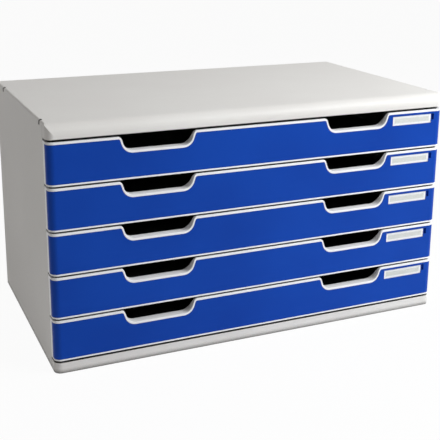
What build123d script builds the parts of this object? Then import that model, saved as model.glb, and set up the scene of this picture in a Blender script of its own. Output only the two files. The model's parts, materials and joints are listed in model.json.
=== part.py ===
"""Desktop storage unit with five shallow drawers, for craft stamps, ink pads and paper.

Millimetres, +Z up, the drawer fronts face -Y. The origin is on the surface that the unit
stands on, in the middle of its width and depth. The case is five moulded panels. Each
drawer is a moulded tray with a coloured fascia in its front, and it hangs by two side
flanges on runners moulded inside the side panels.
"""

import os
from math import atan2, cos, tan

from build123d import *

# ---------------------------------------------------------------- driving dimensions
# Overall plan, and the front that the cover, the drawers and the plinth share
case_width = 576.0
case_depth = 330.0
corner_radius = 9.5          # upright rounding at both ends of the front
front_return = 20.0          # how far the front parts reach back along the sides
panel_seam = 0.8             # open seam between the front parts and a side panel
fit_gap = 0.2                # clearance of a rib or card that is pushed into its place

# Case panels
side_wall = 3.0
back_wall = 3.0
base_wall = 3.0
cover_wall = 4.0
cover_round = 2.5            # rounding of the cover's long side edges
lip_height = 19.2            # front lip of the cover, from its lower edge to the top
lip_wall = 5.0
lip_nose = 14.0              # bull-nose radius along the lip
lip_foot = 1.0               # small rounding of the lip's lower edge
plinth_height = 14.2         # from the underside of the base
plinth_wall = 3.6
arris = 1.2                  # small rounding on the upright outer edges of the side panels

# Ribs under the cover, and the sockets in its side edges where a second unit clips on
rib_wall = 2.5
rib_drop = 8.0
socket_length = 7.0
socket_reach = 4.0
socket_drop = 2.5            # how far a socket goes on down into the side panel
front_socket_inset = 35.5
rear_socket_inset = 55.5
rib_socket_gap = 9.0

# Drawers
drawer_count = 5
fascia_height = 49.7
rim_height = 3.1             # white rim above the fascia and below the finger cut-outs
sill_height = 2.4            # thin white line below the fascia
drawer_gap = 2.6             # between one drawer and the next, and above the plinth
cover_gap = 3.0              # between the highest drawer and the lip
front_wall = 3.6
fascia_wall = 1.8
fascia_wrap = 11.0           # how far the fascia goes round the corner
edge_round = 0.5
drawer_travel = 240.0

# Finger cut-outs
cutout_inset = 142.0         # from the end of the drawer to the middle of a cut-out
cutout_depth = 18.4
cutout_base = 86.5
cutout_mouth = 98.5
cutout_side_rim = 2.4        # white rim up the sides of a cut-out
cutout_base_round = 13.3
cutout_mouth_round = 5.0
ledge_depth = 12.0           # the lip under the fingers, from the front inwards
ledge_step = 3.0             # height of the full-depth part of the ledge

# Label, its pocket in the fascia and the nail slot beside it
label_width = 64.5
label_height = 12.8
label_right_inset = 19.6
label_drop = 3.3             # below the upper edge of the fascia
card_thickness = 0.4
window_thickness = 0.7
pocket_skin = 0.5            # fascia left behind the label
nail_slot_width = 4.6
nail_slot_height = 8.6
nail_slot_depth = 3.0
nail_cup_wall = 0.8          # fascia plastic round the part of the slot behind the shell

# Tray behind the front
tray_wall = 2.2
tray_floor = 2.2
floor_lift = 1.5             # from the lower edge of the front up to the tray
tray_corner = 6.0
tray_back_gap = 2.0

# Runners in the side panels and the flanges that hang on them
runner_width = 8.0
runner_wall = 2.5
runner_side_gap = 1.0
runner_lift_gap = 0.3
flange_width = 8.0
flange_wall = 2.5
flange_drop = 6.0            # from the upper edge of the front down to the flange
catch_height = 2.2           # stop catch on the flange
catch_length = 8.0
catch_gap = 0.6
stop_gap = 0.4

# Screws, their posts, the fascia pegs and the foot pads
screw_radius = 1.4
screw_length = 11.0
screw_head_radius = 2.8
screw_end_room = 1.0
screw_play = 0.05
screw_slot_width = 0.7
screw_slot_depth = 0.6
post_length = 10.0
boss_height = 12.0
boss_offset = 110.0
back_screw_inset = 40.0
peg_radius = 1.5
peg_length = 2.6
peg_gap = 0.1
inner_peg_offset = 60.0      # from the middle of the drawer
outer_peg_inset = 53.0       # from the end of the drawer
foot_radius = 7.0
foot_thickness = 2.2
foot_proud = 0.6
foot_inset = 32.0

# ---------------------------------------------------------------- places worked out
half_width = case_width / 2
front_y = -case_depth / 2
back_y = case_depth / 2
inner_x = half_width - side_wall
panel_front_y = front_y + front_return + panel_seam

front_height = sill_height + fascia_height + rim_height
drawer_pitch = front_height + drawer_gap
base_z = foot_proud
plinth_top_z = base_z + plinth_height
lowest_front_z = plinth_top_z + drawer_gap
lip_z = lowest_front_z + drawer_pitch * (drawer_count - 1) + front_height + cover_gap
case_height = lip_z + lip_height
cover_z = case_height - cover_wall

tray_half = inner_x - runner_width - runner_side_gap
tray_back_y = back_y - back_wall - post_length - tray_back_gap
front_top_z = lowest_front_z + front_height
tray_z = lowest_front_z + floor_lift
flange_z = front_top_z - flange_drop
cutout_z = front_top_z - cutout_depth
runner_z = flange_z - flange_wall - runner_lift_gap
guide_z = flange_z + catch_height + catch_gap

fascia_z = lowest_front_z + sill_height
fascia_top_z = fascia_z + fascia_height
cutout_x = half_width - cutout_inset
cutout_angle = atan2((cutout_mouth - cutout_base) / 2, cutout_depth)
rim_spread = cutout_side_rim / cos(cutout_angle) - rim_height * tan(cutout_angle)
peg_places = [side * place for side in (-1, 1)
              for place in (inner_peg_offset, half_width - outer_peg_inset)]

catch_front_y = panel_front_y + catch_length + stop_gap + drawer_travel
label_x = half_width - label_right_inset - label_width / 2
label_z = fascia_top_z - label_drop - label_height / 2
pocket_depth = fascia_wall - pocket_skin
nail_slot_x = label_x + label_width / 2 + fit_gap + nail_slot_width / 2
nail_slot_z = label_z + label_height / 2 + fit_gap - nail_slot_height / 2
socket_places = (front_y + front_socket_inset, back_y - rear_socket_inset)
post_x = inner_x - runner_width / 2
screw_levels = (
    base_z + back_screw_inset,
    (base_z + cover_z) / 2,
    cover_z - back_screw_inset,
)
beyond = 10.0                # how far a cutting shape runs past what it cuts

front_plane = Plane.XZ.offset(-front_y)
front_height_plane = Plane.XY.offset(lowest_front_z)


# ---------------------------------------------------------------- shapes that repeat
def front_plan(inset, reach):
    """Draw the plan of the front: rounded at both front corners, reach deep."""
    width = case_width - 2 * inset
    depth = reach - inset
    with Locations((0, front_y + inset + depth / 2)):
        Rectangle(width, depth)
    front_corners = vertices().group_by(Axis.Y)[0]
    fillet(front_corners, corner_radius - inset)


def front_band(wall, reach):
    """Draw the plan of a front wall of one thickness that goes round both corners."""
    front_plan(0, reach)
    with BuildSketch() as hollow:
        front_plan(wall, reach + beyond)
    add(hollow.sketch, mode=Mode.SUBTRACT)


def cutout_outline(base_level, mouth_level, spread, base_round, mouth_round, lower, half):
    """Draw the elevation of a front with its two finger cut-outs."""
    base_half = cutout_base / 2 + spread
    mouth_half = cutout_mouth / 2 + spread
    steps = []
    for middle in (-cutout_x, cutout_x):
        steps += [
            (middle - mouth_half, mouth_level),
            (middle - base_half, base_level),
            (middle + base_half, base_level),
            (middle + mouth_half, mouth_level),
        ]
    with BuildLine() as outline:
        Polyline((-half, lower), (-half, mouth_level), *steps,
                 (half, mouth_level), (half, lower), close=True)
    make_face(outline.edges())
    levels = vertices().group_by(Axis.Y)
    fillet(levels[1], base_round)
    fillet(vertices().group_by(Axis.Y)[-1].sort_by(Axis.X)[1:-1], mouth_round)


def white_elevation():
    """Draw the whole front of a drawer as seen from the front."""
    cutout_outline(cutout_z, front_top_z, 0, cutout_base_round, cutout_mouth_round,
                   lowest_front_z, half_width)


def fascia_elevation():
    """Draw the coloured field of a drawer front, inside the white rim."""
    cutout_outline(cutout_z - rim_height, fascia_top_z, rim_spread,
                   cutout_base_round + cutout_side_rim, cutout_mouth_round - cutout_side_rim,
                   fascia_z, half_width)


def screw(length):
    """Make a countersunk screw that points along its own -Z, head face at the origin."""
    Cone(screw_radius, screw_head_radius, screw_head_radius - screw_radius,
         align=(Align.CENTER, Align.CENTER, Align.MAX))
    Cylinder(screw_radius, length, align=(Align.CENTER, Align.CENTER, Align.MAX))
    Box(2 * screw_head_radius, screw_slot_width, 2 * screw_slot_depth, mode=Mode.SUBTRACT)


back_screw_places = [
    Plane(origin=(side * post_x, back_y, level), z_dir=(0, 1, 0))
    for side in (-1, 1)
    for level in screw_levels
]
base_screw_places = [
    Plane(origin=(side * post_x, place, base_z), z_dir=(0, 0, -1))
    for side in (-1, 1)
    for place in (-boss_offset, boss_offset)
]

os.makedirs("parts", exist_ok=True)

# ---------------------------------------------------------------- case: side panels
# A flat wall, one pair of ribs per drawer, a stop at the front of each pair, a post for
# the back screws and two bosses for the base screws.
with BuildPart() as left_side_panel:
    with BuildSketch(Plane.XY.offset(base_z)):
        with Locations((-half_width, panel_front_y)):
            Rectangle(side_wall, back_y - panel_front_y, align=(Align.MIN, Align.MIN))
    extrude(amount=cover_z - base_z)
    outer_edges = faces().sort_by(Axis.X)[0].edges().filter_by(Axis.Z)
    fillet(outer_edges, arris)
    with Locations((-inner_x, back_y - back_wall, base_z + base_wall)):
        Box(runner_width, post_length, cover_z - base_z - base_wall,
            align=(Align.MIN, Align.MAX, Align.MIN))
    for place in (-boss_offset, boss_offset):
        with Locations((-inner_x, place, base_z + base_wall)):
            Box(runner_width, post_length, boss_height,
                align=(Align.MIN, Align.CENTER, Align.MIN))
    runner_length = back_y - back_wall - post_length - panel_front_y
    for number in range(drawer_count):
        lift = number * drawer_pitch
        with Locations((-inner_x, panel_front_y, runner_z + lift)):
            Box(runner_width, runner_length, runner_wall,
                align=(Align.MIN, Align.MIN, Align.MAX))
        with Locations((-inner_x, panel_front_y, guide_z + lift)):
            Box(runner_width, runner_length, runner_wall,
                align=(Align.MIN, Align.MIN, Align.MIN))
        with Locations((-inner_x, panel_front_y, guide_z + lift)):
            Box(runner_width, catch_length, catch_height,
                align=(Align.MIN, Align.MIN, Align.MAX))
    with Locations(*[plane for plane in back_screw_places if plane.origin.X < 0]):
        Cylinder(screw_radius + screw_play, screw_length + screw_end_room,
                 align=(Align.CENTER, Align.CENTER, Align.MAX), mode=Mode.SUBTRACT)
    with Locations(*[plane for plane in base_screw_places if plane.origin.X < 0]):
        Cylinder(screw_radius + screw_play, screw_length + screw_end_room,
                 align=(Align.CENTER, Align.CENTER, Align.MAX), mode=Mode.SUBTRACT)
    for place in socket_places:
        with Locations((-half_width, place, cover_z)):
            Box(2 * side_wall, socket_length, 2 * socket_drop, mode=Mode.SUBTRACT)
left_side_panel.part.label = "left_side_panel"
export_step(left_side_panel.part, "parts/left_side_panel.step")

with BuildPart() as right_side_panel:
    mirror(left_side_panel.part, about=Plane.YZ)
right_side_panel.part.label = "right_side_panel"
export_step(right_side_panel.part, "parts/right_side_panel.step")
print("side panels", round(left_side_panel.part.volume), "mm3 each")

# ---------------------------------------------------------------- case: cover
# A flat plate with a bull-nosed lip at the front, drawn as its side section and then cut
# to the rounded plan. Two ribs under it drop inside the side panels.
with BuildPart() as top_cover:
    with BuildSketch(Plane.YZ.offset(-half_width)):
        with BuildLine():
            Polyline(
                (front_y, lip_z), (front_y, case_height), (back_y, case_height),
                (back_y, cover_z), (front_y + lip_wall, cover_z),
                (front_y + lip_wall, lip_z), close=True)
        make_face()
        front_line = vertices().group_by(Axis.X)[0].sort_by(Axis.Y)
        fillet(front_line[-1], lip_nose)
        fillet(vertices().group_by(Axis.Y)[0].sort_by(Axis.X)[0], lip_foot)
    extrude(amount=case_width)
    with BuildSketch(Plane.XY.offset(lip_z)):
        with Locations((0, front_y + lip_wall)):
            with GridLocations(case_width - side_wall, 0, 2, 1):
                Rectangle(side_wall, front_return - lip_wall,
                          align=(Align.CENTER, Align.MIN))
    extrude(amount=cover_z - lip_z)
    with BuildSketch(Plane.XY.offset(lip_z - beyond)):
        front_plan(0, case_depth)
    extrude(amount=lip_height + 2 * beyond, mode=Mode.INTERSECT)
    with BuildSketch(front_plane):
        with Locations((0, lip_z - beyond)):
            Rectangle(case_width, lip_height + beyond, align=(Align.CENTER, Align.MIN))
        fillet(vertices().group_by(Axis.Y)[-1], cover_round)
    extrude(amount=-case_depth, mode=Mode.INTERSECT)
    rib_start = socket_places[0] + rib_socket_gap
    rib_end = socket_places[1] - rib_socket_gap
    with Locations((0, rib_start, cover_z)):
        with GridLocations(2 * (inner_x - fit_gap) - rib_wall, 0, 2, 1):
            Box(rib_wall, rib_end - rib_start, rib_drop,
                align=(Align.CENTER, Align.MIN, Align.MAX))
    for place in socket_places:
        with Locations((-half_width, place, case_height), (half_width, place, case_height)):
            Box(2 * socket_reach, socket_length, 2 * cover_wall, mode=Mode.SUBTRACT)
top_cover.part.label = "top_cover"
export_step(top_cover.part, "parts/top_cover.step")
print("cover lip from", round(lip_z, 2), "to", round(case_height, 2))

# ---------------------------------------------------------------- case: back and base
with BuildPart() as back_panel:
    with BuildSketch(Plane.XY.offset(base_z + base_wall)):
        with Locations((0, back_y)):
            Rectangle(2 * (inner_x - fit_gap), back_wall, align=(Align.CENTER, Align.MAX))
    extrude(amount=cover_z - base_z - base_wall)
    with Locations(*back_screw_places):
        screw_cut = screw_length + screw_end_room
        Cone(screw_radius + screw_play, screw_head_radius + screw_play,
             screw_head_radius - screw_radius,
             align=(Align.CENTER, Align.CENTER, Align.MAX), mode=Mode.SUBTRACT)
        Cylinder(screw_radius + screw_play, screw_cut,
                 align=(Align.CENTER, Align.CENTER, Align.MAX), mode=Mode.SUBTRACT)
back_panel.part.label = "back_panel"
export_step(back_panel.part, "parts/back_panel.step")

# A floor plate that fits between the side panels, with the plinth across its front.
with BuildPart() as base_panel:
    with BuildSketch(Plane.XY.offset(base_z)):
        front_band(plinth_wall, front_return)
    extrude(amount=plinth_height)
    fillet(faces().sort_by(Axis.Z)[-1].outer_wire().edges().group_by(Axis.Y)[0], edge_round)
    with BuildSketch(Plane.XY.offset(base_z)):
        front_plan(0, front_return)
        with Locations((0, panel_front_y)):
            Rectangle(2 * (inner_x - fit_gap), back_y - panel_front_y,
                      align=(Align.CENTER, Align.MIN))
        with Locations((0, panel_front_y)):
            Rectangle(2 * (inner_x - fit_gap), panel_seam + edge_round,
                      align=(Align.CENTER, Align.MAX))
    extrude(amount=base_wall)
    with Locations(*base_screw_places):
        Cone(screw_radius + screw_play, screw_head_radius + screw_play,
             screw_head_radius - screw_radius,
             align=(Align.CENTER, Align.CENTER, Align.MAX), mode=Mode.SUBTRACT)
        Cylinder(screw_radius + screw_play, screw_length,
                 align=(Align.CENTER, Align.CENTER, Align.MAX), mode=Mode.SUBTRACT)
    with Locations((0, 0, base_z)):
        with GridLocations(case_width - 2 * foot_inset, case_depth - 2 * foot_inset, 2, 2):
            Cylinder(foot_radius + fit_gap, foot_thickness - foot_proud,
                     align=(Align.CENTER, Align.CENTER, Align.MIN), mode=Mode.SUBTRACT)
base_panel.part.label = "base_panel"
export_step(base_panel.part, "parts/base_panel.step")

with BuildPart() as foot_pads:
    with GridLocations(case_width - 2 * foot_inset, case_depth - 2 * foot_inset, 2, 2):
        Cylinder(foot_radius, foot_thickness, align=(Align.CENTER, Align.CENTER, Align.MIN))
foot_pads.part.label = "foot_pads"
export_step(foot_pads.part, "parts/foot_pads.step")

with BuildPart() as one_screw:
    screw(screw_length)

with BuildPart() as case_screws:
    with Locations(*back_screw_places, *base_screw_places):
        add(one_screw.part)
case_screws.part.label = "case_screws"
export_step(case_screws.part, "parts/case_screws.step")
print("case screws", len(case_screws.part.solids()))

# ---------------------------------------------------------------- drawer: the fascia
# A thin coloured shell that wraps round both corners and stops short of the white rim. Behind
# the nail slot it has a small cup that reaches to the back of the white front.
with BuildPart() as fascia_seat:
    with BuildSketch(front_height_plane):
        front_band(fascia_wall, fascia_wrap)
    extrude(amount=front_height)
    with BuildSketch(front_plane):
        fascia_elevation()
    extrude(amount=-front_return, mode=Mode.INTERSECT)
    with BuildSketch(front_plane.offset(-pocket_depth)):
        with Locations((nail_slot_x, nail_slot_z)):
            Rectangle(nail_slot_width + 2 * nail_cup_wall,
                      nail_slot_height + 2 * nail_cup_wall)
    extrude(amount=pocket_depth - front_wall)

with BuildPart() as fascia_blank:
    add(fascia_seat.part)
    with BuildSketch(front_plane):
        with Locations((label_x, label_z)):
            Rectangle(label_width + 2 * fit_gap, label_height + 2 * fit_gap)
    extrude(amount=-pocket_depth, mode=Mode.SUBTRACT)
    with BuildSketch(front_plane):
        with Locations((nail_slot_x, nail_slot_z)):
            Rectangle(nail_slot_width, nail_slot_height)
    extrude(amount=-nail_slot_depth, mode=Mode.SUBTRACT)
    with BuildSketch(front_plane.offset(-fascia_wall)):
        for place in peg_places:
            with Locations((place, fascia_z + fascia_height / 2)):
                Circle(peg_radius)
    extrude(amount=-peg_length)

with BuildPart() as card_blank:
    with BuildSketch(front_plane.offset(-pocket_depth)):
        with Locations((label_x, label_z)):
            Rectangle(label_width, label_height)
    extrude(amount=card_thickness)

with BuildPart() as window_blank:
    with BuildSketch(front_plane.offset(card_thickness - pocket_depth)):
        with Locations((label_x, label_z)):
            Rectangle(label_width, label_height)
    extrude(amount=window_thickness)

# ---------------------------------------------------------------- drawer: the tray
with BuildPart() as white_front:
    with BuildSketch(front_height_plane):
        front_band(front_wall, front_return)
    extrude(amount=front_height)
    with BuildSketch(front_plane):
        white_elevation()
    extrude(amount=-front_return, mode=Mode.INTERSECT)

# The ledge is the white rim of a cut-out carried inwards, and a slope thins it out from
# the full-depth part at the bottom to the wall at the mouth.
with BuildPart() as finger_ledges:
    with BuildSketch(front_plane):
        white_elevation()
    extrude(amount=-ledge_depth)
    with BuildSketch(front_plane):
        fascia_elevation()
    extrude(amount=-ledge_depth, mode=Mode.SUBTRACT)
    with BuildSketch(front_plane):
        with Locations((0, cutout_z - rim_height)):
            with GridLocations(2 * cutout_x, 0, 2, 1):
                Rectangle(cutout_mouth + 2 * rim_height, cutout_depth + rim_height,
                          align=(Align.CENTER, Align.MIN))
    extrude(amount=-ledge_depth, mode=Mode.INTERSECT)
    with BuildSketch(Plane.YZ.offset(-half_width)):
        with BuildLine():
            Polyline(
                (front_y + front_wall, front_top_z),
                (front_y + ledge_depth, cutout_z + ledge_step),
                (front_y + ledge_depth + beyond, cutout_z + ledge_step),
                (front_y + ledge_depth + beyond, front_top_z + beyond),
                (front_y + front_wall, front_top_z + beyond), close=True)
        make_face()
    extrude(amount=case_width, mode=Mode.SUBTRACT)

with BuildPart() as tray_blank:
    tray_start_y = front_y + front_wall
    with BuildSketch(Plane.XY.offset(tray_z)):
        with Locations((0, tray_start_y)):
            Rectangle(2 * tray_half, tray_back_y - tray_start_y,
                      align=(Align.CENTER, Align.MIN))
        fillet(vertices().group_by(Axis.Y)[-1], tray_corner)
    extrude(amount=flange_z - tray_z)
    with BuildSketch(Plane.XY.offset(tray_z + tray_floor)):
        with Locations((0, tray_start_y)):
            Rectangle(2 * (tray_half - tray_wall), tray_back_y - tray_wall - tray_start_y,
                      align=(Align.CENTER, Align.MIN))
        fillet(vertices().group_by(Axis.Y)[-1], tray_corner - tray_wall)
    extrude(amount=flange_z - tray_z, mode=Mode.SUBTRACT)
    add(white_front.part)
    add(finger_ledges.part)
    add(fascia_seat.part, mode=Mode.SUBTRACT)
    fillet(faces().filter_by(Axis.Y).group_by(Axis.Y)[0].edges(), edge_round)
    flange_length = tray_back_y - tray_corner - panel_front_y
    for side in (-1, 1):
        with Locations((side * tray_half, panel_front_y, flange_z)):
            flange_align = Align.MIN if side > 0 else Align.MAX
            Box(flange_width, flange_length, flange_wall,
                align=(flange_align, Align.MIN, Align.MAX))
        with Locations((side * tray_half, catch_front_y, flange_z)):
            Box(flange_width, catch_length, catch_height,
                align=(flange_align, Align.MIN, Align.MIN))
    with BuildSketch(front_plane.offset(-fascia_wall)):
        for place in peg_places:
            with Locations((place, fascia_z + fascia_height / 2)):
                Circle(peg_radius + peg_gap)
    extrude(amount=-beyond, mode=Mode.SUBTRACT)
print("tray inside", 2 * (tray_half - tray_wall), "x",
      round(tray_back_y - tray_wall - tray_start_y, 1))

# ---------------------------------------------------------------- the stack of drawers
blanks = {
    "tray": tray_blank,
    "fascia": fascia_blank,
    "label_card": card_blank,
    "label_window": window_blank,
}
for number in range(1, drawer_count + 1):
    lift = (drawer_count - number) * drawer_pitch
    for piece, blank in blanks.items():
        with BuildPart() as drawer_piece:
            with Locations((0, 0, lift)):
                add(blank.part)
        drawer_piece.part.label = f"drawer_{number}_{piece}"
        export_step(drawer_piece.part, f"parts/drawer_{number}_{piece}.step")
print("drawers", drawer_count, "at a pitch of", round(drawer_pitch, 2))
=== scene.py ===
# %% [markdown]
# # A desktop unit with five shallow drawers
# This file dresses a finished construction model: a grey moulded case with five drawers,
# each with a white tray, a royal blue fascia, and a paper label behind a clear window.
# The shapes could be modelled again here, but they come ready made, each piece as its own
# object, and one set of shapes keeps looks, motion and sizes in step. What is left to do is
# to stand a camera and lamps round the unit, and to give every surface its finish.

# %% Load the construction model
import json
import math

import bpy
from mathutils import Matrix, Vector

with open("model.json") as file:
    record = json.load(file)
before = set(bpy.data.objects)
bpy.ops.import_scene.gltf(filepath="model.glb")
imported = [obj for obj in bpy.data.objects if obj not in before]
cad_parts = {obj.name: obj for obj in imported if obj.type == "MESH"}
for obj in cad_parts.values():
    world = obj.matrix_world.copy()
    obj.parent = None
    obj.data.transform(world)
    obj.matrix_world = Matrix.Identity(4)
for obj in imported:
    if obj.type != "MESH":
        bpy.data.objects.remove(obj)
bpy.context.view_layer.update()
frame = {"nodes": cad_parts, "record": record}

nodes = frame["nodes"]

# %% [markdown]
# ## Where the camera stands
# The photograph was taken from the front left and a little above. A camera can be aimed in
# two ways: with a Track To constraint, or with a matrix built from its own three axes. The
# matrix is used here, because the small roll is then an exact number. The angles and the
# place came from fitting the corners and long edges of the unit.

# %% The three axes of the camera
YAW = math.radians(23.64)
PITCH = math.radians(14.39)
ROLL = math.radians(0.45)
CAMERA_PLACE = Vector((-0.5083, -1.1847, 0.5550))

ahead = Vector((math.sin(YAW) * math.cos(PITCH), math.cos(YAW) * math.cos(PITCH),
                -math.sin(PITCH)))
level_right = Vector((math.cos(YAW), -math.sin(YAW), 0.0))
level_up = level_right.cross(ahead)
right = level_right * math.cos(ROLL) + level_up * math.sin(ROLL)
up = level_up * math.cos(ROLL) - level_right * math.sin(ROLL)
print("the camera looks along", [round(value, 3) for value in ahead])

# %% [markdown]
# ## The lens
# The focal length is known in pixels of the photograph's frame, and so is the row that
# the camera points straight at. That row lies above the middle, so the lens is shifted
# down. The camera then looks down less steeply for the same frame, and the upright edges
# stay nearer to parallel. A crop of a wider picture would do the same, but the shift keeps
# the whole frame in use.

# %% Make the camera
FRAME_PIXELS = 440
FOCAL_PIXELS = 885.3
AXIS_ROW = 154.0
SENSOR_WIDTH = 36.0

camera_data = bpy.data.cameras.new("camera")
camera_data.sensor_width = SENSOR_WIDTH
camera_data.lens = FOCAL_PIXELS / FRAME_PIXELS * SENSOR_WIDTH
camera_data.shift_y = (AXIS_ROW - FRAME_PIXELS / 2) / FRAME_PIXELS
camera = bpy.data.objects.new("camera", camera_data)
bpy.context.scene.collection.objects.link(camera)
turn = Matrix((right, up, -ahead)).transposed().to_4x4()
camera.matrix_world = Matrix.Translation(CAMERA_PLACE) @ turn
bpy.context.scene.camera = camera
bpy.context.scene.view_settings.view_transform = "Standard"
print("lens", round(camera_data.lens, 1), "mm, shift", round(camera_data.shift_y, 3))

# %% [markdown]
# ## Node trees in a few words
# A finish is a tree of nodes, with patterns and colours at one end and a shader at the
# other. Written out link by link, each tree would take forty lines, so a small helper adds
# one node and sets its sockets by name. A value that is a socket of another node becomes a
# link. A value that is a plain number stays on the socket.

# %% A helper that adds one node
class NodeTree:
    """The node tree of a material or a world, and a short way to add nodes to it."""

    def __init__(self, owner, last_kind):
        owner.use_nodes = True
        self.owner = owner
        self.tree = owner.node_tree
        self.tree.nodes.clear()
        self.last = self.add(last_kind)

    def add(self, kind, settings=None, **inputs):
        """A new node. An underscore in the name of an input stands for a space."""
        node = self.tree.nodes.new(kind)
        for name, value in (settings or {}).items():
            setattr(node, name, value)
        for name, value in inputs.items():
            self.put(node, name.replace("_", " "), value)
        return node

    def put(self, node, name, value):
        socket = node.inputs[name]
        if isinstance(value, bpy.types.NodeSocket):
            self.tree.links.new(value, socket)
        else:
            socket.default_value = value

    def close(self, shader):
        """Join the finished shader to the output and hand back the material or world."""
        self.put(self.last, "Surface", shader)
        print(self.owner.name, "has", len(self.tree.nodes), "nodes")
        return self.owner


def new_finish(name):
    return NodeTree(bpy.data.materials.new(name), "ShaderNodeOutputMaterial")


print("node helper ready")

# %% [markdown]
# ## Patterns
# Real plastic is never one flat colour. A painted image could carry its clouds and grain,
# but it would need unwrapped pieces and would blur close up. So the patterns are noise,
# worked out in each object's own metres, and they stay put when a drawer slides. Noise
# runs from 0 to 1 but keeps near the middle, so a part of it is picked and stretched.

# %% Noise, spans and arithmetic
WHOLE = (0.0, 1.0)
MIDDLE = (0.3, 0.7)
NARROW_MIDDLE = (0.35, 0.65)
UPPER = (0.45, 0.75)


def noise(tree, scale, detail=3.0, roughness=0.5, stretch=(1, 1, 1)):
    """Noise over the object. A larger scale is finer, a small stretch draws it out."""
    place = tree.add("ShaderNodeTexCoord").outputs["Object"]
    spread = tree.add("ShaderNodeMapping", Vector=place, Scale=stretch)
    grain = tree.add("ShaderNodeTexNoise", Vector=spread.outputs["Vector"],
                     Scale=scale, Detail=detail, Roughness=roughness)
    return grain.outputs["Fac"]


def span(tree, value, results, part=WHOLE):
    """Stretch a part of a value onto a range of results. Both are pairs, start and end."""
    ranged = tree.add("ShaderNodeMapRange", Value=value, From_Min=part[0],
                      From_Max=part[1], To_Min=results[0], To_Max=results[1])
    return ranged.outputs["Result"]


def step(tree, operation, first, second):
    """One step of arithmetic on two values."""
    node = tree.add("ShaderNodeMath", {"operation": operation})
    tree.put(node, 0, first)
    tree.put(node, 1, second)
    return node.outputs[0]


print("pattern helpers ready")

# %% [markdown]
# ## Colours
# A colour picked off a screen, 0 to 255, is bent for the eye, while a shader wants the
# amount of light. It could be converted by hand each time. Undoing the bend with the sRGB
# formula lets every colour below be written as it is seen.

# %% Screen colours and blends
DARKEST_STEPS = 10
MIX_AMOUNT = 0
MIX_COLOURS = (6, 7)
MIX_RESULT = 2


def linear(red, green, blue):
    """A colour as it is read off a screen, 0 to 255, turned into scene light."""
    return tuple(
        value / 255 / 12.92 if value <= DARKEST_STEPS
        else ((value / 255 + 0.055) / 1.055) ** 2.4
        for value in (red, green, blue)
    )


def blend(tree, amount, first, second):
    """Mix two colours, each three numbers or a socket. The Mix node has several sockets
    of the same name, so they are found by number."""
    mixed = tree.add("ShaderNodeMix", {"data_type": "RGBA"})
    tree.put(mixed, MIX_AMOUNT, amount)
    for slot, shade in zip(MIX_COLOURS, (first, second)):
        tree.put(mixed, slot, (*shade, 1.0) if isinstance(shade, tuple) else shade)
    return mixed.outputs[MIX_RESULT]


def mottle(tree, pattern, part, first, second):
    """The first colour below the chosen part of a pattern, the second above it."""
    return blend(tree, span(tree, pattern, WHOLE, part), first, second)


print("a screen's 128 is", round(linear(128, 128, 128)[0], 3), "of full light")

# %% [markdown]
# ## Edges, hollows and fine relief
# Moulded edges are never quite sharp, and use marks a thing by place: edges are polished,
# seams fill with dust. Hollows and seams are also given painted shade. Rounding every edge
# of the mesh would multiply its faces, so a Bevel node rounds only the direction in which
# the surface catches light. Where that direction turns away from the flat one, there is an
# edge. An Ambient Occlusion node tells how hidden a point is, and it tells the same from
# every side. Grain is far too fine to model, so it is a bump. Its relief is a pair: a
# strength, and a depth in metres.

# %% Edges, hollows and bumps
SHELTER_SAMPLES = 8
BEVEL_SAMPLES = 4
TURNED_TO_FLAT = (0.80, 0.99)


def shelter(tree, reach, part):
    """0 where the surface is hidden in a hole, 1 where it lies open."""
    hidden = tree.add("ShaderNodeAmbientOcclusion", {"samples": SHELTER_SAMPLES},
                      Distance=reach)
    return span(tree, hidden.outputs["AO"], WHOLE, part)


def soft_edge(tree, radius):
    """The surface direction with every sharp edge rounded a little."""
    bevel = tree.add("ShaderNodeBevel", {"samples": BEVEL_SAMPLES}, Radius=radius)
    return bevel.outputs["Normal"]


def edge(tree, rounded):
    """1 on a sharp edge, 0 on a flat stretch."""
    flat = tree.add("ShaderNodeNewGeometry").outputs["Normal"]
    likeness = tree.add("ShaderNodeVectorMath", {"operation": "DOT_PRODUCT"})
    tree.put(likeness, 0, rounded)
    tree.put(likeness, 1, flat)
    return span(tree, likeness.outputs["Value"], (1.0, 0.0), TURNED_TO_FLAT)


def bump(tree, height, relief, under=None):
    """Relief from a pattern, on top of another surface direction if one is given."""
    bumped = tree.add("ShaderNodeBump", Height=height, Strength=relief[0],
                      Distance=relief[1])
    if under is not None:
        tree.put(bumped, "Normal", under)
    return bumped.outputs["Normal"]


print("an edge shows where the surface turns by more than",
      round(math.degrees(math.acos(TURNED_TO_FLAT[1]))), "degrees")

# %% [markdown]
# ## The colour of the case
# The case is light grey polystyrene. One colour all over would look painted on, so a slow
# noise moves it a little, as the flow of the melt does, and a fine one speckles it. Hands
# polish the edges paler. Two reaches of shelter darken the hollows: a short one darkens
# sockets and seams nearly to black, partly dust and partly painted shade, and a long one
# paints shade on the inside, where hardly any light arrives.

# %% Case colour
CASE_GREY = linear(226, 224, 220)
CASE_PALE_GREY = linear(231, 230, 226)
CASE_SPECKLE = linear(214, 211, 205)
CASE_WORN = linear(238, 237, 233)
# seams and sockets: partly dust, partly painted shade
SEAM_DUST_AND_SHADE = linear(30, 28, 26)
# painted shade for the inside of the case
CASE_PAINTED_SHADE = linear(18, 17, 16)
SPECKLE_AMOUNT = (0.0, 0.35)
SEAM_REACH = 0.008
SEAM_SHELTER = (0.45, 0.95)
INSIDE_REACH = 0.30
CASE_SHELTER = (0.03, 0.14)


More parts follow.
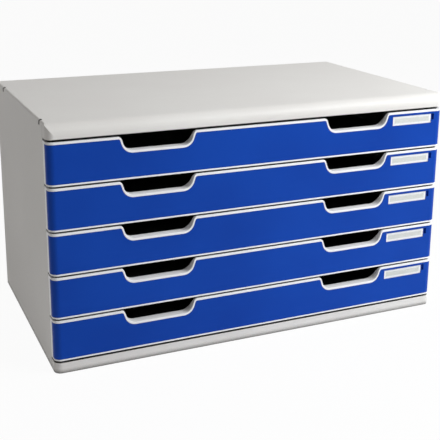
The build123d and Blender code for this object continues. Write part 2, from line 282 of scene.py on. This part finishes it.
def case_colour(finish, cloud, grain, worn):
    colour = mottle(finish, cloud, NARROW_MIDDLE, CASE_GREY, CASE_PALE_GREY)
    speckle = span(finish, grain, SPECKLE_AMOUNT, UPPER)
    colour = blend(finish, speckle, colour, CASE_SPECKLE)
    colour = blend(finish, worn, colour, CASE_WORN)
    # painted shade with some dust: seams and sockets are darkened nearly to black
    seam_openness = shelter(finish, SEAM_REACH, SEAM_SHELTER)
    colour = blend(finish, seam_openness, SEAM_DUST_AND_SHADE, colour)
    # painted shade: the hidden inside of the case is darkened nearly to black
    outside = shelter(finish, INSIDE_REACH, CASE_SHELTER)
    return blend(finish, outside, CASE_PAINTED_SHADE, colour)


# the seam darkening is partly dust and partly painted shade
print("dust darkens seams within", round(SEAM_REACH * 1000), "mm")

# %% [markdown]
# ## The skin of the case
# The mould was spark eroded, which leaves a fine, even grain a fraction of a millimetre
# across and makes the gloss soft. A smooth plastic with a flat roughness looks like paint,
# and a large bump looks like leather. So two very fine noises share the bump, a slow one
# moves the roughness, and worn edges are a little glossier.

# %% Case plastic
CASE_CLOUDS = 6.0
CASE_GRAIN = 1600.0
CASE_PORES = 520.0
CASE_EDGE = 0.0006
CASE_GRAIN_RELIEF = (0.22, 0.0003)
CASE_PORE_RELIEF = (0.10, 0.0006)
CASE_ROUGHNESS = (0.42, 0.52)
CASE_GLOSS = 0.3
WEAR_AMOUNT = (0.3, 0.9)
WORN_POLISH = 0.10


def case_plastic():
    finish = new_finish("case_plastic")
    cloud = noise(finish, CASE_CLOUDS, detail=2.0)
    grain = noise(finish, CASE_GRAIN, detail=2.0, roughness=0.6)
    pores = noise(finish, CASE_PORES, detail=1.0)
    rounded = soft_edge(finish, CASE_EDGE)
    patches = span(finish, pores, WEAR_AMOUNT)
    worn = step(finish, "MULTIPLY", edge(finish, rounded), patches)
    skin = bump(finish, grain, CASE_GRAIN_RELIEF, rounded)
    skin = bump(finish, pores, CASE_PORE_RELIEF, skin)
    rough = span(finish, cloud, CASE_ROUGHNESS, MIDDLE)
    polish = step(finish, "MULTIPLY", worn, WORN_POLISH)
    shader = finish.add("ShaderNodeBsdfPrincipled", Normal=skin,
                        Base_Color=case_colour(finish, cloud, grain, worn),
                        Roughness=step(finish, "SUBTRACT", rough, polish),
                        Specular_IOR_Level=CASE_GLOSS)
    return finish.close(shader.outputs["BSDF"])


CASE_PLASTIC = case_plastic()

# %% [markdown]
# ## White tray plastic
# The trays are smoother than the case, because sheets and stamps should slide in them. A
# plain white would hide their form, so the case's recipe serves again, with a finer grain,
# a lower roughness, and faint flow lines across the width of the drawer, which a noise
# drawn out sideways gives. The rims are bright. Deep inside a closed drawer the long reach
# of shelter darkens the white nearly to black, as painted shade.

# %% Tray plastic
TRAY_WHITE = linear(247, 248, 249)
TRAY_BRIGHT_WHITE = linear(251, 251, 252)
TRAY_FLOW_LINE = linear(240, 241, 243)
# painted shade for the inside of a drawer
TRAY_PAINTED_SHADE = linear(16, 15, 17)
TRAY_CLOUDS = 9.0
TRAY_FLOW = 40.0
TRAY_GRAIN = 2400.0
FLOW_STRETCH = (0.15, 1.0, 1.0)
FLOW_AMOUNT = (0.0, 0.25)
TRAY_SHELTER = (0.05, 0.20)
TRAY_EDGE = 0.0005
TRAY_RELIEF = (0.10, 0.0002)
TRAY_ROUGHNESS = (0.30, 0.42)
TRAY_GLOSS = 0.3


def tray_plastic():
    finish = new_finish("tray_plastic")
    cloud = noise(finish, TRAY_CLOUDS, detail=2.0)
    flow = noise(finish, TRAY_FLOW, stretch=FLOW_STRETCH)
    grain = noise(finish, TRAY_GRAIN, detail=1.0)
    colour = mottle(finish, cloud, NARROW_MIDDLE, TRAY_WHITE, TRAY_BRIGHT_WHITE)
    streak = span(finish, flow, FLOW_AMOUNT, UPPER)
    colour = blend(finish, streak, colour, TRAY_FLOW_LINE)
    # painted shade: the hidden inside of the tray is darkened nearly to black
    outside = shelter(finish, INSIDE_REACH, TRAY_SHELTER)
    colour = blend(finish, outside, TRAY_PAINTED_SHADE, colour)
    skin = bump(finish, grain, TRAY_RELIEF, soft_edge(finish, TRAY_EDGE))
    shader = finish.add("ShaderNodeBsdfPrincipled", Base_Color=colour, Normal=skin,
                        Roughness=span(finish, flow, TRAY_ROUGHNESS, MIDDLE),
                        Specular_IOR_Level=TRAY_GLOSS)
    return finish.close(shader.outputs["BSDF"])


TRAY_PLASTIC = tray_plastic()

# %% [markdown]
# ## Royal blue fascia
# The fascia is a thin blue shell with a satin surface that brightens towards the light. A
# deep blue turns milky when its gloss mirrors the white room, so the specular level is
# set low, and the depth comes from the colour. The grain breaks what gloss is left, and
# fine rubbed streaks keep the large fields from looking painted. The rims and sharp edges
# of the shell are darker: painted shade for the shadow line where the blue meets the rim.

# %% Fascia plastic
FASCIA_BLUE = linear(6, 63, 164)
FASCIA_BRIGHT_BLUE = linear(9, 69, 173)
FASCIA_RUBBED = linear(20, 76, 177)
# painted shade along the sharp edges of the fascia
FASCIA_PAINTED_EDGE_SHADE = linear(3, 34, 104)
FASCIA_CLOUDS = 7.0
FASCIA_GRAIN = 1900.0
FASCIA_RUBS = 70.0
RUB_STRETCH = (0.2, 1.0, 1.0)
RUB_AMOUNT = (0.0, 0.30)
RUB_PART = (0.58, 0.80)
FASCIA_EDGE = 0.0007
FASCIA_RELIEF = (0.15, 0.0002)
FASCIA_ROUGHNESS = (0.36, 0.48)
FASCIA_GLOSS = 0.12


def fascia_plastic():
    finish = new_finish("fascia_plastic")
    cloud = noise(finish, FASCIA_CLOUDS, detail=2.0)
    grain = noise(finish, FASCIA_GRAIN, detail=2.0, roughness=0.6)
    rubs = noise(finish, FASCIA_RUBS, detail=4.0, roughness=0.65, stretch=RUB_STRETCH)
    rounded = soft_edge(finish, FASCIA_EDGE)
    colour = mottle(finish, cloud, NARROW_MIDDLE, FASCIA_BLUE, FASCIA_BRIGHT_BLUE)
    rubbed = span(finish, rubs, RUB_AMOUNT, RUB_PART)
    colour = blend(finish, rubbed, colour, FASCIA_RUBBED)
    # painted shade: every sharp edge of the fascia is darkened to a deeper blue
    colour = blend(finish, edge(finish, rounded), colour, FASCIA_PAINTED_EDGE_SHADE)
    skin = bump(finish, grain, FASCIA_RELIEF, rounded)
    shader = finish.add("ShaderNodeBsdfPrincipled", Base_Color=colour, Normal=skin,
                        Roughness=span(finish, rubs, FASCIA_ROUGHNESS, MIDDLE),
                        Specular_IOR_Level=FASCIA_GLOSS)
    return finish.close(shader.outputs["BSDF"])


FASCIA_PLASTIC = fascia_plastic()

# %% [markdown]
# ## The margin of the label
# Each card has a brighter margin all round a faintly toned field. A frame could be modelled
# on the card, but a printed margin has no thickness. Generated coordinates run from 0 to 1
# across each card, so how near a point is to the card's ends, in metres, finds the margin.

# %% Card margin
CARD_WIDTH = nodes["drawer_1_label_card"].dimensions.x
CARD_HEIGHT = nodes["drawer_1_label_card"].dimensions.z
CARD_MARGIN = 0.0030
MARGIN_BLUR = 0.0006


def inward(tree, along, length):
    """How far a point lies from the nearer end, in metres."""
    other_end = step(tree, "SUBTRACT", 1.0, along)
    nearest = step(tree, "MINIMUM", along, other_end)
    return step(tree, "MULTIPLY", nearest, length)


def card_field(finish):
    """0 in the margin of the card, 1 in its field."""
    place = finish.add("ShaderNodeTexCoord").outputs["Generated"]
    axes = finish.add("ShaderNodeSeparateXYZ", Vector=place)
    depth = step(finish, "MINIMUM", inward(finish, axes.outputs["X"], CARD_WIDTH),
                 inward(finish, axes.outputs["Z"], CARD_HEIGHT))
    return span(finish, depth, WHOLE, (CARD_MARGIN - MARGIN_BLUR, CARD_MARGIN + MARGIN_BLUR))


print("cards measure", round(CARD_WIDTH * 1000, 1), "by", round(CARD_HEIGHT * 1000, 1), "mm")

# %% [markdown]
# ## Label card
# The card is uncoated and quite dull. A flat white would look like plastic, so fibres show
# in it as a fine noise that is drawn out along the card, in the tone, the roughness and
# the bump.

# %% Label card
CARD_MARGIN_WHITE = linear(247, 248, 247)
CARD_TONE = linear(210, 213, 208)
CARD_PALE_TONE = linear(221, 224, 219)
CARD_FIBRES = 900.0
FIBRE_STRETCH = (0.3, 1.0, 1.0)
CARD_RELIEF = (0.15, 0.0002)
CARD_ROUGHNESS = (0.75, 0.9)


def label_card():
    finish = new_finish("label_card")
    fibres = noise(finish, CARD_FIBRES, detail=4.0, roughness=0.7, stretch=FIBRE_STRETCH)
    toned = mottle(finish, fibres, MIDDLE, CARD_TONE, CARD_PALE_TONE)
    colour = blend(finish, card_field(finish), CARD_MARGIN_WHITE, toned)
    shader = finish.add("ShaderNodeBsdfPrincipled", Base_Color=colour,
                        Roughness=span(finish, fibres, CARD_ROUGHNESS, MIDDLE),
                        Normal=bump(finish, fibres, CARD_RELIEF))
    return finish.close(shader.outputs["BSDF"])


LABEL_CARD = label_card()

# %% [markdown]
# ## Label window
# The window is a thin clear strip in front of the card. Real refraction through so thin a
# piece would only darken the card, so the strip is mostly see-through and keeps its gloss,
# with a faint haze of fingerprints.

# %% Label window
WINDOW_TINT = (0.95, 0.96, 0.97, 1.0)
WINDOW_COVER = 0.14
WINDOW_IOR = 1.49
WINDOW_HAZE = 30.0
WINDOW_ROUGHNESS = (0.08, 0.2)


def label_window():
    finish = new_finish("label_window")
    haze = noise(finish, WINDOW_HAZE)
    shader = finish.add("ShaderNodeBsdfPrincipled", Base_Color=WINDOW_TINT,
                        Roughness=span(finish, haze, WINDOW_ROUGHNESS),
                        Alpha=WINDOW_COVER, IOR=WINDOW_IOR)
    return finish.close(shader.outputs["BSDF"])


LABEL_WINDOW = label_window()

# %% [markdown]
# ## Screws
# The screws are zinc plated: a bright metal with a faint blue cast and a turned surface. A
# real groove for every turning mark would never be seen, so a fine drawn-out noise moves
# the colour, the roughness and the bump together.

# %% Screw steel
STEEL_BLUISH = linear(178, 182, 190)
STEEL_BRIGHT = linear(205, 207, 210)
TURNING_MARKS = 2500.0
TURNING_STRETCH = (1.0, 1.0, 0.2)
STEEL_RELIEF = (0.2, 0.0001)
STEEL_ROUGHNESS = (0.25, 0.42)


def screw_steel():
    finish = new_finish("screw_steel")
    turned = noise(finish, TURNING_MARKS, detail=2.0, stretch=TURNING_STRETCH)
    colour = blend(finish, turned, STEEL_BLUISH, STEEL_BRIGHT)
    shader = finish.add("ShaderNodeBsdfPrincipled", Base_Color=colour, Metallic=1.0,
                        Roughness=span(finish, turned, STEEL_ROUGHNESS),
                        Normal=bump(finish, turned, STEEL_RELIEF))
    return finish.close(shader.outputs["BSDF"])


SCREW_STEEL = screw_steel()

# %% [markdown]
# ## Foot pads
# The pads are black rubber, and rubber that stands on a desk is never quite black. Dust
# mottles it towards grey and keeps it dull.

# %% Foot rubber
RUBBER_BLACK = linear(34, 34, 35)
RUBBER_DUSTY = linear(62, 61, 60)
RUBBER_DUST = 300.0
RUBBER_DUST_PART = (0.4, 0.7)
RUBBER_RELIEF = (0.3, 0.0003)
RUBBER_ROUGHNESS = (0.75, 0.95)


def foot_rubber():
    finish = new_finish("foot_rubber")
    dust = noise(finish, RUBBER_DUST, detail=4.0, roughness=0.7)
    colour = mottle(finish, dust, RUBBER_DUST_PART, RUBBER_BLACK, RUBBER_DUSTY)
    shader = finish.add("ShaderNodeBsdfPrincipled", Base_Color=colour,
                        Roughness=span(finish, dust, RUBBER_ROUGHNESS),
                        Normal=bump(finish, dust, RUBBER_RELIEF))
    return finish.close(shader.outputs["BSDF"])


FOOT_RUBBER = foot_rubber()

# %% [markdown]
# ## Dress the pieces
# Each piece could be dressed by its name, but the record already says which material slot
# it belongs to. So one table from slot to finish dresses the whole unit. The meshes
# themselves are left as they came.

# %% Assign the finishes
FINISHES = {
    "case_plastic": CASE_PLASTIC,
    "tray_plastic": TRAY_PLASTIC,
    "fascia_plastic": FASCIA_PLASTIC,
    "label_card": LABEL_CARD,
    "label_window": LABEL_WINDOW,
    "screw_steel": SCREW_STEEL,
    "foot_rubber": FOOT_RUBBER,
}
for entry in frame["record"]["subparts"]:
    mesh = nodes[entry["node"]].data
    mesh.materials.clear()
    mesh.materials.append(FINISHES[entry["material_slot"]])

# %% [markdown]
# ## What the camera sees as white
# The unit stands in a white surround. White paper under soft lamps would come out grey, and
# more lamps would burn out the unit. So the surround is its own light of strength 1, but
# only for rays that are seen: those from the camera, and those that gloss and clear parts
# send on. For all other rays it stays an ordinary surface or a weak sky.

# %% Rays that are seen
PLAIN_WHITE = (1.0, 1.0, 1.0, 1.0)


def seen_rays(tree):
    """1 for rays from the camera, and for those that gloss and clear parts send on."""
    path = tree.add("ShaderNodeLightPath")
    seen = path.outputs["Is Camera Ray"]
    for kind in ("Is Glossy Ray", "Is Transmission Ray"):
        seen = step(tree, "MAXIMUM", seen, path.outputs[kind])
    return seen


def choose(tree, amount, first, second):
    """The first shader where the amount is 0, the second where it is 1."""
    chosen = tree.add("ShaderNodeMixShader")
    tree.put(chosen, 0, amount)
    tree.put(chosen, 1, first.outputs[0])
    tree.put(chosen, 2, second.outputs[0])
    return chosen.outputs[0]


print("white surround ready")

# %% [markdown]
# ## Floor
# Only a breath of shadow ties the unit to the floor. A floor that was all its own light
# would lose that shadow, so a small share of it stays a pale surface that the lamps light
# and the unit shades.

# %% Floor
GLOW_SHARE = 0.95
FLOOR_DULL = (0.84, 0.84, 0.83)
FLOOR_BRIGHT = (0.87, 0.87, 0.87)
FLOOR_DUST = 3.0
FLOOR_DUST_PART = (0.4, 0.6)
FLOOR_REACH = 30.0


def floor_white():
    finish = new_finish("floor_white")
    dust = noise(finish, FLOOR_DUST, detail=4.0)
    tone = mottle(finish, dust, FLOOR_DUST_PART, FLOOR_DULL, FLOOR_BRIGHT)
    lit = finish.add("ShaderNodeBsdfDiffuse", Color=tone)
    glow = finish.add("ShaderNodeEmission", Color=PLAIN_WHITE, Strength=1.0)
    share = step(finish, "MULTIPLY", seen_rays(finish), GLOW_SHARE)
    return finish.close(choose(finish, share, lit, glow))


floor_mesh = bpy.data.meshes.new("floor")
corners = [(-FLOOR_REACH, -FLOOR_REACH, 0), (FLOOR_REACH, -FLOOR_REACH, 0),
           (FLOOR_REACH, FLOOR_REACH, 0), (-FLOOR_REACH, FLOOR_REACH, 0)]
floor_mesh.from_pydata(corners, [], [(0, 1, 2, 3)])
floor_mesh.materials.append(floor_white())
floor = bpy.data.objects.new("floor", floor_mesh)
bpy.context.scene.collection.objects.link(floor)
print("floor spans", 2 * FLOOR_REACH, "m")

# %% [markdown]
# ## Sky
# In the photograph the left side of the unit lies in a warmer shade that can still be read.
# A lamp on that side would leave marks of its own, so a weak, even, warm sky lights the
# shade instead. Where the sky itself is seen, it is plain white.

# %% Sky
SKY_LEVEL = 0.237
SHADE_TINT = (1.0, 0.955, 0.93)

world = bpy.data.worlds.new("sky")
bpy.context.scene.world = world
sky = NodeTree(world, "ShaderNodeOutputWorld")
even = sky.add("ShaderNodeBackground", Color=(*SHADE_TINT, 1.0), Strength=SKY_LEVEL)
white = sky.add("ShaderNodeBackground", Color=PLAIN_WHITE, Strength=1.0)
sky.close(choose(sky, seen_rays(sky), even, white))

# %% [markdown]
# ## Lamps
# The top is brightest towards the front right, and the fronts brighten from left to right.
# A lamp far away would light both ends alike, so the key lamp stands fairly near, above the
# front right, and a larger card further right widens its light. The card behind serves the
# back alone: it stays lower than the top, or it would lie across it as a glare.

# %% Lamps
KEY_TINT = (0.965, 0.98, 1.0)
AIM = Vector((0.0, 0.0, 0.16))
LAMPS = {
    # name: place and side in metres, power in watts, tint
    "key_lamp": ((0.8, -0.95, 1.1), 0.6, 15.4, KEY_TINT),
    "right_card": ((1.7, -0.6, 1.3), 1.0, 13.5, KEY_TINT),
    "back_card": ((0.0, 1.5, 0.16), 0.3, 6.0, SHADE_TINT),
}

for name, (place, side, power, tint) in LAMPS.items():
    light = bpy.data.lights.new(name, "AREA")
    light.size = side
    light.energy = power
    light.color = tint
    lamp = bpy.data.objects.new(name, light)
    lamp.location = place
    towards = AIM - Vector(place)
    lamp.rotation_euler = towards.to_track_quat("-Z", "Y").to_euler()
    bpy.context.scene.collection.objects.link(lamp)
    print(name, "stands", round(towards.length, 2), "m from the middle of the unit")
